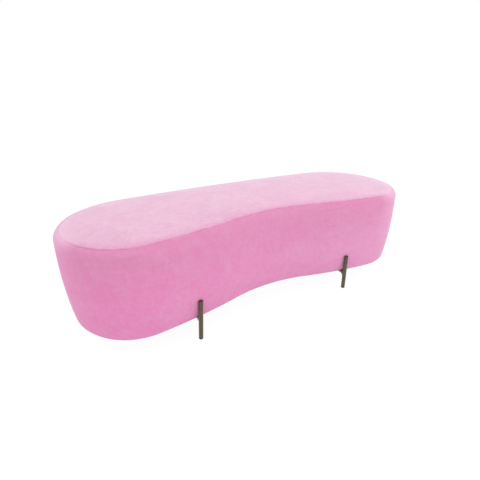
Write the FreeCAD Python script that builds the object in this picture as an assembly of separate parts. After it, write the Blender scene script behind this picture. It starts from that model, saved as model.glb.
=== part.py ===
import FreeCAD, Part
import math
import os
from collections import namedtuple

# A kidney-shaped upholstered pouf: a plywood frame wrapped in foam, wadding and cloth, carried by
# four rods that stand outside the upholstery. Lengths are in millimetres and angles in degrees.
# The origin lies on the floor under the middle of the length and depth, +Z is up, +X runs along the
# length, and the hollow of the kidney faces -Y.

# Plan of the widest outline: arcs that run smoothly into each other, mirrored about the middle
LENGTH = 1445.0
WAIST_RADIUS = 624.0  # hollow in the middle of the front
FRONT_CORNER_RADIUS = 213.0
END_RADIUS = 267.0
WAIST_SLOPE = 15.0  # slope where the hollow passes into the front of a lobe
LOBE_SLOPE = 5.7  # slope where the front of a lobe passes into its corner
END_SLOPE = 43.7  # slope where the corner passes into the end
BACK_SLOPE = 4.6  # slope where the end passes into the gently curved back

# Side profile: bottom roll, bulging wall, rounded top edge and crown. The crown and the roll, which
# lie flat or underneath, are followed by a few straight slopes.
SEAT_HEIGHT = 406.0  # floor to the top of the crown
FLOOR_GAP = 71.0  # floor to the underside of the cover
WALL_RADIUS = 1400.0
WALL_HEIGHT = 260.0  # height at which the wall is widest
BOTTOM_ROLL_RADIUS = 28.0
TOP_EDGE_RADIUS = 31.0
CROWN_RADIUS = 1400.0
CROWN_RUN = 160.0  # how far in from the side the crown levels off
SEAM_ANGLE = 67.0  # place of the seam, up the rounded top edge
CROWN_SLOPES = 2
ROLL_SLOPES = 3

# Upholstery: cloth with wadding quilted behind it, over plain blocks of foam
COVER = 1.5  # cloth thickness
SIDE_WADDING = 4.0  # least wadding, at the foot of the wall
TOP_WADDING = 3.0  # least wadding, at the foam's top edge
SEAT_FOAM = 75.0
HEM = 45.0  # width of cloth turned under the base panel
DUST_COVER = 0.8
DUST_COVER_LAP = 15.0  # how far the dust cover laps over the hem

# Frame
BASE_PANEL = 15.0
DECK_PANEL = 12.0
SKIN = 4.0  # bending plywood round the frame
RIB = 15.0
RIB_MARGIN = 40.0  # from a leg plate's end to the rib beside it
RIB_END_GAP = 85.0  # from the last rib to the end of the panels
TAB = 60.0  # length of a rib's tab
TAB_INSET = 55.0  # from the end of a rib to its tab
TAB_CLEARANCE = 0.2  # all round a tab in its slot

# Legs
LEG_SHARE = 0.458  # spacing of the left and right rods at their tops, as a share of the length
ROD_DIAMETER = 16.0
ROD_TOP = 159.0  # floor to the flat top of a rod
ROD_CLEARANCE = 0.4  # between a rod's top and the upholstery
SPLAY = 2.8  # outward lean of the rods
GLIDE = 8.0  # nylon foot below the rod
GLIDE_BEVEL = 3.0
GLIDE_WEAR = 0.5  # cut off the leaning foot so that it stands level
GLIDE_PIN_WIDTH = 5.0  # square pin into the rod
GLIDE_PIN = 12.0
ARM = 12.0  # square arm from a rod into the base panel
ARM_CLEARANCE = 0.3  # round an arm in the skin and base panel
ARM_LAP = 12.0  # how far an arm reaches over its plate
GUSSET = 5.0
GUSSET_LEG = 18.0
PLATE = 4.0
PLATE_LENGTH = 70.0
PLATE_DEPTH = 40.0
PLATE_MARGIN = 16.0  # between the hem and a plate
PLATE_WINDOW = 2.0  # all round a plate in the dust cover

# Bolt up through each plate into the base panel
BOLT_DIAMETER = 6.0
BOLT_CLEARANCE = 0.3  # all round a bolt in the plate
BOLT_HEAD_WIDTH = 10.0  # across the flats
BOLT_HEAD = 4.0
BOLT_GRIP = 12.0  # how far a bolt goes into the base panel

Vec = FreeCAD.Vector
UP = Vec(0, 0, 1)
SIDES = {"left": -1, "right": 1}
ENDS = {"front": 1, "rear": -1}  # which way along Y the body lies from the rods

# Plan arcs: the centre, the radius, the angle at which the arc starts, how far it turns, and
# whether it is the hollow, whose centre lies outside the body
PlanArc = namedtuple("PlanArc", "x y radius start turn hollow")

# Profile circles: the distance in from the widest outline, the height and the radius
Circle = namedtuple("Circle", "u z radius")


def direction(angle):
    """Unit vector at an angle in the plan."""
    return Vec(math.cos(math.radians(angle)), math.sin(math.radians(angle)), 0)


def sine(angle):
    return math.sin(math.radians(angle))


def half_chord(radius, offset):
    return math.sqrt(radius**2 - offset**2)


def right_half():
    """The hollow, then the three arcs of the right half and the back, before they are centred on Y."""
    flank_radius = (
        LENGTH / 2
        - WAIST_RADIUS * sine(WAIST_SLOPE)
        - FRONT_CORNER_RADIUS * (sine(LOBE_SLOPE) + sine(END_SLOPE))
        - END_RADIUS * (1 - sine(END_SLOPE))
    ) / (sine(WAIST_SLOPE) - sine(LOBE_SLOPE))
    centre = Vec(0, -WAIST_RADIUS, 0)
    arcs = [PlanArc(0, centre.y, WAIST_RADIUS, 90 + WAIST_SLOPE, -2 * WAIST_SLOPE, True)]
    joint = centre + direction(90 - WAIST_SLOPE) * WAIST_RADIUS
    start = -90 - WAIST_SLOPE
    for radius, end in (
        (flank_radius, -90 - LOBE_SLOPE),
        (FRONT_CORNER_RADIUS, -90 + END_SLOPE),
        (END_RADIUS, 90 - BACK_SLOPE),
    ):
        centre = joint - direction(start) * radius
        arcs.append(PlanArc(centre.x, centre.y, radius, start, end - start, False))
        joint = centre + direction(end) * radius
        start = end
    back_radius = joint.x / sine(BACK_SLOPE)
    back_y = joint.y - back_radius * math.cos(math.radians(BACK_SLOPE))
    arcs.append(PlanArc(0, back_y, back_radius, start, 2 * BACK_SLOPE, False))
    return arcs


def mirrored(arc):
    return arc._replace(x=-arc.x, start=180 - arc.start - arc.turn)


# Profile circles and the heights that follow from them
wall = Circle(WALL_RADIUS, WALL_HEIGHT, WALL_RADIUS)
roll_z = FLOOR_GAP + BOTTOM_ROLL_RADIUS
roll_u = wall.u - half_chord(wall.radius - BOTTOM_ROLL_RADIUS, roll_z - wall.z)
roll = Circle(roll_u, roll_z, BOTTOM_ROLL_RADIUS)
crown = Circle(CROWN_RUN, SEAT_HEIGHT - CROWN_RADIUS, CROWN_RADIUS)


def inner_circle(first, second, radius):
    """The circle of a given radius that lies inside two others and touches both, on the outer side."""
    a = first.radius - radius
    b = second.radius - radius
    apart = math.hypot(second.u - first.u, second.z - first.z)
    along = (a * a - b * b + apart * apart) / (2 * apart)
    aside = half_chord(a, along)
    step_u = (second.u - first.u) / apart
    step_z = (second.z - first.z) / apart
    return Circle(
        first.u + along * step_u - aside * step_z,
        first.z + along * step_z + aside * step_u,
        radius,
    )


edge = inner_circle(crown, wall, TOP_EDGE_RADIUS)
panel_inset = roll.u  # the panels stop where the bottom roll begins
skin_inset = panel_inset - SKIN
foam_inset = roll.u - roll.radius + COVER + SIDE_WADDING
hem_inset = panel_inset + HEM
base_bottom = FLOOR_GAP + COVER
base_top = base_bottom + BASE_PANEL
foam_bottom = roll.z - half_chord(roll.radius - COVER, roll.u - foam_inset)
foam_top = edge.z + half_chord(edge.radius - COVER, edge.u - foam_inset) - TOP_WADDING
deck_top = foam_top - SEAT_FOAM
deck_bottom = deck_top - DECK_PANEL
plate_bottom = base_bottom - PLATE
arm_middle = base_bottom + ARM / 2
arm_top = base_bottom + ARM
rod_radius = ROD_DIAMETER / 2


def wall_inset(z):
    """How far the wall lies in from the widest outline at a height."""
    return wall.u - half_chord(wall.radius, z - wall.z)


# Places of the rods, with the plan moved so that the whole part is centred on Y
rod_x = LENGTH * LEG_SHARE / 2
rod_outset = rod_radius + ROD_CLEARANCE - wall_inset(ROD_TOP)
right = right_half()


def reach(arc, x, outset):
    """Distance along Y from an arc's centre to its parallel curve at a given X."""
    return half_chord(arc.radius + outset, x - arc.x)


flank, corner, back = right[1], right[2], right[4]
rear_most = max(back.y + back.radius, back.y + reach(back, rod_x, rod_outset) + rod_radius)
front_most = corner.y - corner.radius
shift = -(rear_most + front_most) / 2
right = [arc._replace(y=arc.y + shift) for arc in right]
waist, flank, corner, end, back = right
ARCS = {
    "front": [mirrored(flank), waist, flank],
    "right": [corner, end],
    "back": [back],
    "left": [mirrored(end), mirrored(corner)],
}
PLAN = ARCS["front"] + ARCS["right"] + ARCS["back"] + ARCS["left"]

rod_y = {
    "front": flank.y - reach(flank, rod_x, rod_outset),
    "rear": back.y + reach(back, rod_x, rod_outset),
}
arm_x = rod_x + (ROD_TOP - arm_middle) * math.tan(math.radians(SPLAY))
plate_setback = hem_inset + PLATE_MARGIN + PLATE_DEPTH / 2
plate_y = {
    "front": flank.y - reach(flank, arm_x, 0) + plate_setback,
    "rear": back.y + reach(back, arm_x, 0) - plate_setback,
}


def outline(inset, z):
    """Closed wire parallel to the widest outline, some distance inside it."""
    edges = []
    for arc in PLAN:
        radius = arc.radius + inset if arc.hollow else arc.radius - inset
        low, high = sorted((arc.start, arc.start + arc.turn))
        edges.append(Part.makeCircle(radius, Vec(arc.x, arc.y, z), UP, low, high))
    return Part.Wire(Part.__sortEdges__(edges))


def slab(inset, bottom, top):
    return Part.Face(outline(inset, bottom)).extrude(Vec(0, 0, top - bottom))


def in_place(arc, angle, point):
    """A profile point (distance in, height) at an angle round a plan arc."""
    u, z = point
    radius = arc.radius + u if arc.hollow else arc.radius - u
    return Vec(arc.x, arc.y, z) + direction(angle) * radius


def section(strokes, arc, angle):
    """Profile as a wire in the upright plane at an angle round a plan arc: lines and arcs."""
    edges = []
    for stroke in strokes:
        points = [in_place(arc, angle, point) for point in stroke]
        if len(points) == 2:
            edges.append(Part.makeLine(*points))
        else:
            edges.append(Part.Arc(*points).toShape())
    return Part.Wire(edges)


def swept(strokes, arcs):
    """Faces of a profile carried round some plan arcs."""
    faces = []
    for arc in arcs:
        faces += section(strokes, arc, arc.start).revolve(Vec(arc.x, arc.y, 0), UP, arc.turn).Faces
    return faces


def closed(faces):
    """Solid bounded by faces that meet edge to edge."""
    skin = Part.makeCompound(faces)
    skin.sewShape()
    body = Part.makeSolid(skin.Shells[0])
    if body.Volume < 0:
        body.reverse()
    return body


def strip(strokes, arcs):
    """Solid of a closed profile carried along part of the outline, with flat ends."""
    first, last = arcs[0], arcs[-1]
    ends = [
        Part.Face(section(strokes, first, first.start)),
        Part.Face(section(strokes, last, last.start + last.turn)),
    ]
    return closed(swept(strokes, arcs) + ends)


def heading(circle, other):
    """Angle, in the profile, from one circle's centre to another's: there the two arcs meet."""
    return math.atan2(other.z - circle.z, other.u - circle.u) % (2 * math.pi)


BRINK = heading(crown, edge)
SHOULDER = heading(wall, edge)
ANKLE = heading(wall, roll)
SEAM = math.pi - math.radians(SEAM_ANGLE)
LEVEL = math.pi / 2
SOLE = 3 * math.pi / 2


def on_circle(circle, angle):
    return (circle.u + circle.radius * math.cos(angle), circle.z + circle.radius * math.sin(angle))


def rounded(circle, start, finish):
    """Stroke along an arc."""
    return [tuple(on_circle(circle, angle) for angle in (start, (start + finish) / 2, finish))]


def lines(*points):
    return list(zip(points, points[1:]))


def sloped(circle, start, finish, count):
    """Straight strokes along an arc."""
    angles = [start + (finish - start) * step / count for step in range(count + 1)]
    return lines(*[on_circle(circle, angle) for angle in angles])


def level_face(inset, z):
    return Part.Face(outline(inset, z))


# Cover, with its wadding


def top_panel():
    """Crowned top that ends at the seam, on the rounded edge."""
    crest = sloped(crown, LEVEL, BRINK, CROWN_SLOPES) + rounded(edge, BRINK, SEAM)
    seam_face = lines(on_circle(edge, SEAM), (foam_inset, foam_top))
    caps = [level_face(CROWN_RUN, SEAT_HEIGHT), level_face(foam_inset, foam_top)]
    return closed(swept(crest + seam_face, PLAN) + caps)


def side_band():
    """Bulging side from the seam down round the bottom roll, with a hem under the base panel."""
    outside = (
        rounded(edge, SEAM, SHOULDER)
        + rounded(wall, SHOULDER, ANKLE)
        + sloped(roll, ANKLE, SOLE, ROLL_SLOPES)
    )
    inside = lines(
        on_circle(roll, SOLE),
        (hem_inset, FLOOR_GAP),
        (hem_inset, base_bottom),
        (skin_inset, base_bottom),
        (skin_inset, foam_bottom),
        (foam_inset, foam_bottom),
        (foam_inset, foam_top),
        on_circle(edge, SEAM),
    )
    ways = [arm_box(side, place, ARM_CLEARANCE, foam_bottom) for side in SIDES for place in ENDS]
    return closed(swept(outside + inside, PLAN)).cut(Part.makeCompound(ways))


# Padding


def upright_strip(outer, inner, bottom, top, arcs):
    """Strip with a rectangular section, bent along part of the outline."""
    return strip(lines((outer, bottom), (inner, bottom), (inner, top), (outer, top), (outer, bottom)), arcs)


def seat_foam():
    return slab(foam_inset, deck_top, foam_top)


def side_foam(arcs):
    return upright_strip(foam_inset, skin_inset, foam_bottom, deck_top, arcs)


def plate_corner(side, place, margin):
    """Lowest corner, in X and Y, of a leg plate or of the window for it."""
    x = SIDES[side] * arm_x - PLATE_LENGTH / 2 - margin
    return x, plate_y[place] - PLATE_DEPTH / 2 - margin


def dust_cover():
    """Thin cloth stretched below the hem, cut out round the leg plates."""
    bottom = FLOOR_GAP - DUST_COVER
    cloth = slab(hem_inset - DUST_COVER_LAP, bottom, FLOOR_GAP)
    length = PLATE_LENGTH + 2 * PLATE_WINDOW
    depth = PLATE_DEPTH + 2 * PLATE_WINDOW
    for side in SIDES:
        for place in ENDS:
            corner_place = Vec(*plate_corner(side, place, PLATE_WINDOW), bottom)
            cloth = cloth.cut(Part.makeBox(length, depth, DUST_COVER, corner_place))
    return cloth


# Frame


def arm_ways():
    """Room for the arms through the skin and into the base panel."""
    top = arm_top + ARM_CLEARANCE
    return [arm_box(side, place, ARM_CLEARANCE, top) for side in SIDES for place in ENDS]


def side_skin(arcs):
    board = upright_strip(skin_inset, panel_inset, base_bottom, deck_top, arcs)
    return board.cut(Part.makeCompound(arm_ways()))


def rib_places():
    """X of each rib from left to right: in the middle, on both sides of the plates, and near the ends."""
    beside = PLATE_LENGTH / 2 + RIB_MARGIN + RIB / 2
    last = LENGTH / 2 - panel_inset - RIB_END_GAP
    half = [arm_x - beside, arm_x + beside, last]
    return [-x for x in reversed(half)] + [0.0] + half


def cross_board(x):
    """Upright board between the panels, its ends shaped to the inside of the skin."""
    span = slab(panel_inset, base_top, deck_bottom)
    room = span.BoundBox
    block = Part.makeBox(RIB, room.YLength, room.ZLength, Vec(x - RIB / 2, room.YMin, base_top))
    return span.common(block)


def tab_boxes(x, clearance):
    """Two tabs of the rib at X, or the slots for them, through the base panel."""
    room = cross_board(x).BoundBox
    width = RIB + 2 * clearance
    length = TAB + 2 * clearance
    starts = (room.YMin + TAB_INSET, room.YMax - TAB_INSET - TAB)
    corners = [Vec(x - width / 2, start - clearance, base_bottom) for start in starts]
    return [Part.makeBox(width, length, BASE_PANEL, corner) for corner in corners]


def cross_rib(x):
    return cross_board(x).multiFuse(tab_boxes(x, 0.0)).removeSplitter()


def base_panel():
    cuts = arm_ways() + bolt_cores(BOLT_DIAMETER / 2, base_bottom, BOLT_GRIP)
    for x in rib_places():
        cuts += tab_boxes(x, TAB_CLEARANCE)
    return slab(panel_inset, base_bottom, base_top).cut(Part.makeCompound(cuts))


def deck_panel():
    return slab(panel_inset, deck_bottom, deck_top)


# Legs


def rod_axis(side, place):
    """Middle of a rod's flat top, and the direction down the rod."""
    lean = Vec(SIDES[side] * sine(SPLAY), 0, -math.cos(math.radians(SPLAY)))
    return Vec(SIDES[side] * rod_x, rod_y[place], ROD_TOP), lean


rod_length = (ROD_TOP - GLIDE) / math.cos(math.radians(SPLAY))


def rod_core(side, place):
    """A rod as a plain cylinder."""
    top, down = rod_axis(side, place)
    return Part.makeCylinder(rod_radius, rod_length, top, down)


def glide_pin(side, place):
    """Square pin along a rod, up from its lower end."""
    top, down = rod_axis(side, place)
    half = GLIDE_PIN_WIDTH / 2
    pin = Part.makeBox(GLIDE_PIN_WIDTH, GLIDE_PIN_WIDTH, GLIDE_PIN, Vec(-half, -half, 0))
    pin.rotate(Vec(0, 0, 0), Vec(0, 1, 0), -SIDES[side] * SPLAY)
    pin.translate(top + down * rod_length)
    return pin


def leg_rod(side, place):
    return rod_core(side, place).cut(glide_pin(side, place))


def leg_glide(side, place):
    """Nylon foot pinned into the rod's lower end, bevelled and cut level on the floor."""
    top, down = rod_axis(side, place)
    seat = top + down * rod_length
    upright = (GLIDE - GLIDE_BEVEL) / -down.z
    foot = Part.makeCylinder(rod_radius, upright, seat, down)
    toe_radius = rod_radius - GLIDE_BEVEL
    toe = Part.makeCone(rod_radius, toe_radius, GLIDE_BEVEL + GLIDE_WEAR, seat + down * upright, down)
    room = toe.BoundBox
    floor = Part.makeBox(room.XLength, room.YLength, GLIDE, Vec(room.XMin, room.YMin, -GLIDE))
    return foot.fuse(toe).cut(floor).fuse(glide_pin(side, place))


def arm_box(side, place, margin, top):
    """An arm as a plain square bar from the rod's axis to its end, or the room for it."""
    inward = ENDS[place]
    tip = plate_y[place] - inward * (PLATE_DEPTH / 2 - ARM_LAP - margin)
    width = ARM + 2 * margin
    corner_place = Vec(SIDES[side] * arm_x - width / 2, min(tip, rod_y[place]), base_bottom)
    return Part.makeBox(width, abs(tip - rod_y[place]), top - base_bottom, corner_place)


def leg_arm(side, place):
    """Square arm welded to the rod, its end coped to it."""
    return arm_box(side, place, 0.0, arm_top).cut(rod_core(side, place))


def leg_gusset(side, place):
    """Web with a hollow curved edge, welded into the corner under the arm."""
    inward = ENDS[place]
    x = SIDES[side] * arm_x - GUSSET / 2
    axis_y = rod_y[place]
    tip_y = axis_y + inward * (rod_radius + GUSSET_LEG)
    low = base_bottom - GUSSET_LEG
    start = Vec(x, tip_y, base_bottom)
    finish = Vec(x, axis_y + inward * rod_radius, low)
    half = GUSSET_LEG * math.sqrt(0.5)
    middle = Vec(x, tip_y - inward * half, low + half)
    edges = [
        Part.Arc(start, middle, finish).toShape(),
        Part.makeLine(finish, Vec(x, axis_y, low)),
        Part.makeLine(Vec(x, axis_y, low), Vec(x, axis_y, base_bottom)),
        Part.makeLine(Vec(x, axis_y, base_bottom), start),
    ]
    web = Part.Face(Part.Wire(edges)).extrude(Vec(GUSSET, 0, 0))
    return web.cut(rod_core(side, place))


bolt_hole_radius = BOLT_DIAMETER / 2 + BOLT_CLEARANCE
BOLT_PLACES = [(SIDES[side] * arm_x, plate_y[place]) for side in SIDES for place in ENDS]


def bolt_cores(radius, bottom, length):
    """Upright cylinders on the axes of all the bolts."""
    return [Part.makeCylinder(radius, length, Vec(x, y, bottom)) for x, y in BOLT_PLACES]


def leg_plate(side, place):
    corner_place = Vec(*plate_corner(side, place, 0.0), plate_bottom)
    plate = Part.makeBox(PLATE_LENGTH, PLATE_DEPTH, PLATE, corner_place)
    return plate.cut(Part.makeCompound(bolt_cores(bolt_hole_radius, plate_bottom, PLATE)))


def leg_bolts():
    """Bolts with six-sided heads under the plates."""
    radius = BOLT_HEAD_WIDTH / math.sqrt(3)
    shanks = bolt_cores(BOLT_DIAMETER / 2, plate_bottom, PLATE + BOLT_GRIP)
    bolts = []
    for shank, (x, y) in zip(shanks, BOLT_PLACES):
        centre = Vec(x, y, plate_bottom - BOLT_HEAD)
        corners = [centre + direction(60 * step) * radius for step in range(7)]
        head = Part.Face(Part.makePolygon(corners)).extrude(UP * BOLT_HEAD)
        bolts.append(head.fuse(shank))
    return Part.makeCompound(bolts)


def all_parts():
    parts = {
        "top_panel": top_panel(),
        "side_band": side_band(),
        "seat_foam": seat_foam(),
        "dust_cover": dust_cover(),
        "base_panel": base_panel(),
        "deck_panel": deck_panel(),
    }
    for name, arcs in ARCS.items():
        parts["side_foam_" + name] = side_foam(arcs)
        parts["side_skin_" + name] = side_skin(arcs)
    for number, x in enumerate(rib_places(), 1):
        parts["cross_rib_%d" % number] = cross_rib(x)
    for side in SIDES:
        for place in ENDS:
            spot = "_%s_%s" % (place, side)
            parts["leg_rod" + spot] = leg_rod(side, place)
            parts["leg_arm" + spot] = leg_arm(side, place)
            parts["leg_plate" + spot] = leg_plate(side, place)
    corners = [(side, place) for side in SIDES for place in ENDS]
    parts["leg_gussets"] = Part.makeCompound([leg_gusset(*corner) for corner in corners])
    parts["leg_glides"] = Part.makeCompound([leg_glide(*corner) for corner in corners])
    parts["leg_bolts"] = leg_bolts()
    return parts


os.makedirs("parts", exist_ok=True)
for name, shape in all_parts().items():
    if not shape.isValid():
        print("not valid:", name)
    shape.exportStep("parts/%s.step" % name)
    print("%-24s %2d solid(s) %10.1f cm3" % (name, len(shape.Solids), shape.Volume / 1000))
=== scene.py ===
"""A kidney-shaped pouf: padded suede cover, plywood frame and four bronze rod legs, in metres."""
import logging
import math
from dataclasses import dataclass, field
from enum import Enum
from typing import Iterable, Sequence, Union

import bmesh
import bpy
import numpy as np
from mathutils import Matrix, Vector, geometry, noise


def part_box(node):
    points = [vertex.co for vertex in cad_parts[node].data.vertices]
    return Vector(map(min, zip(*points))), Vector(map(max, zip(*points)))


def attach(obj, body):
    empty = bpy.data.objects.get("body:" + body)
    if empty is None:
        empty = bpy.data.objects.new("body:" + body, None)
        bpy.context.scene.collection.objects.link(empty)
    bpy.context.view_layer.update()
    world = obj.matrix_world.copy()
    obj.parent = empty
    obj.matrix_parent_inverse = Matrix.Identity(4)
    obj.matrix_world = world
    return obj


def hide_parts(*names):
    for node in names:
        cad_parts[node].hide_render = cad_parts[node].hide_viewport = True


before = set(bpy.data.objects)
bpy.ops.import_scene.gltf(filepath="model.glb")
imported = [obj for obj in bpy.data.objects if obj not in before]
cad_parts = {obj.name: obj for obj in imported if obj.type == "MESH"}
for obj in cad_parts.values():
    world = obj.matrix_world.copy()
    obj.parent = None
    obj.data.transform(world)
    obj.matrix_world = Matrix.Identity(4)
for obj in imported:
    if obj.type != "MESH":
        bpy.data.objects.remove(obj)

LOG = logging.getLogger("pouf")
BODY = "root"
PAINTED_SHADE = "brushed_over"
PAINTED_SHEEN = "lifted"

Material = bpy.types.Material
Piece = bpy.types.Object
Socket = bpy.types.NodeSocket
Setting = Union[float, int, str, tuple, Socket]
Grid = np.ndarray
Faces = list[tuple]

# Corners of a square, and faces of a block with four corners below and four above
SQUARE = ((-1, -1), (1, -1), (1, 1), (-1, 1))
BLOCK = ((0, 3, 2, 1), (4, 5, 6, 7), (0, 1, 5, 4), (1, 2, 6, 5), (2, 3, 7, 6), (3, 0, 4, 7))


class Hand(Enum):
    """Which half of the pouf a leg stands on."""

    LEFT = -1
    RIGHT = 1


class Row(Enum):
    """Front or rear leg: the value is the way along Y from the rod to the body."""

    FRONT = 1
    REAR = -1


class Grain(Enum):
    """Axis along which the face grain of a plywood piece runs."""

    ALONG = 0
    ACROSS = 1
    UPRIGHT = 2


class Side(Enum):
    """Parts of the side: the value gives their arcs in the plan."""

    FRONT = (0, 1, 2)
    RIGHT = (3, 4)
    BACK = (5,)
    LEFT = (6, 7)


# Materials


class Nodes:
    """Builder for a tree of shader nodes."""

    def __init__(self, tree: bpy.types.NodeTree) -> None:
        """Start with an empty tree.

        Args:
            tree: the tree of a material or a world.
        """
        self.tree = tree
        tree.nodes.clear()

    def put(self, socket: Socket, value: Setting) -> None:
        """Set a socket to a constant, or link it to another socket.

        Args:
            socket: the input.
            value: the constant, or the socket to link from.
        """
        if isinstance(value, Socket):
            self.tree.links.new(value, socket)
        else:
            socket.default_value = value

    def node(self, kind: str, settings: dict | None = None, inputs: dict | None = None) -> bpy.types.Node:
        """Add a node.

        Args:
            kind: the node's type name.
            settings: attributes of the node.
            inputs: values or sockets by input name or number.

        Returns:
            The new node.
        """
        made = self.tree.nodes.new(kind)
        for key, value in (settings or {}).items():
            setattr(made, key, value)
        for key, value in (inputs or {}).items():
            self.put(made.inputs[key], value)
        return made

    def sums(self, operation: str, first: Setting, second: Setting) -> Socket:
        """One step of arithmetic on two values."""
        return self.node("ShaderNodeMath", {"operation": operation}, {0: first, 1: second}).outputs[0]

    def seen(self) -> Socket:
        """Tell the rays that the camera sees, straight or by way of gloss or glass.

        Returns:
            A socket with 1 for such a ray, else 0.
        """
        path = self.node("ShaderNodeLightPath").outputs
        by_way = self.sums("MAXIMUM", path["Is Glossy Ray"], path["Is Transmission Ray"])
        return self.sums("MAXIMUM", path["Is Camera Ray"], by_way)

    def mixed(self, share: Socket, first: bpy.types.Node, second: bpy.types.Node, output: str) -> None:
        """Send a mix of two shaders to an output of the kind given."""
        mix = self.node("ShaderNodeMixShader", None, {0: share, 1: first.outputs[0], 2: second.outputs[0]})
        self.node(output, None, {"Surface": mix.outputs[0]})


class Shade(Nodes):
    """Builder for the nodes of one procedural material."""

    def __init__(self, name: str) -> None:
        """Start a material with a Principled surface.

        Args:
            name: the material's name.
        """
        self.material = bpy.data.materials.new(name)
        self.material.use_nodes = True
        super().__init__(self.material.node_tree)
        self.surface = self.node("ShaderNodeBsdfPrincipled")
        self.node("ShaderNodeOutputMaterial", None, {"Surface": self.surface.outputs[0]})
        self.place = self.node("ShaderNodeTexCoord").outputs["Object"]

    def stretched(self, scale: tuple[float, float, float]) -> Socket:
        """Object coordinates stretched by a scale on each axis."""
        return self.node("ShaderNodeMapping", None, {"Vector": self.place, "Scale": scale}).outputs[0]

    def clouds(
        self, scale: float, detail: float = 2.0, warp: float = 0.0, place: Socket | None = None
    ) -> Socket:
        """Smooth noise from 0 to 1.

        Args:
            scale: cells per metre.
            detail: octaves.
            warp: distortion.
            place: coordinates, or the object's own.

        Returns:
            The noise value's socket.
        """
        values = {"Vector": place or self.place, "Scale": scale, "Detail": detail, "Distortion": warp}
        return self.node("ShaderNodeTexNoise", None, values).outputs["Fac"]

    def cells(self, place: Socket, scale: float, uneven: float = 1.0) -> Socket:
        """Distance from the middles of cells, a number of them to the metre."""
        values = {"Vector": place, "Scale": scale, "Randomness": uneven}
        return self.node("ShaderNodeTexVoronoi", None, values).outputs["Distance"]

    def ranged(self, value: Socket, low: float, high: float, start: float = 0.3, end: float = 0.7) -> Socket:
        """Map a value from start..end to low..high, clamped."""
        values = {"Value": value, "From Min": start, "From Max": end, "To Min": low, "To Max": high}
        return self.node("ShaderNodeMapRange", None, values).outputs[0]

    def blend(self, share: Setting, first: Setting, second: Setting) -> Socket:
        """Mix two colours by a share."""
        # The node's colour sockets are inputs 6 and 7 and output 2
        values = {"Factor": share, 6: first, 7: second}
        return self.node("ShaderNodeMix", {"data_type": "RGBA"}, values).outputs[2]

    def bump(self, height: Socket, depth: float, strength: float, under: Socket | None = None) -> Socket:
        """Relief of a depth in metres, laid over an earlier one where given.

        Args:
            height: the pattern.
            depth: metres between its low and its high.
            strength: how much of it shows.
            under: the earlier relief.

        Returns:
            The surface direction's socket.
        """
        values: dict = {"Height": height, "Distance": depth, "Strength": strength}
        if under is not None:
            values["Normal"] = under
        return self.node("ShaderNodeBump", None, values).outputs[0]

    def finish(self, **inputs: Setting) -> Material:
        """Set the surface's inputs and hand over the material.

        Args:
            inputs: values or sockets by input name, with underscores for spaces.

        Returns:
            The finished material.
        """
        for key, value in inputs.items():
            self.put(self.surface.inputs[key.replace("_", " ")], value)
        return self.material


def tone(red: float, green: float, blue: float) -> tuple[float, float, float, float]:
    """Opaque colour from linear red, green and blue."""
    return (red, green, blue, 1.0)


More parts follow.
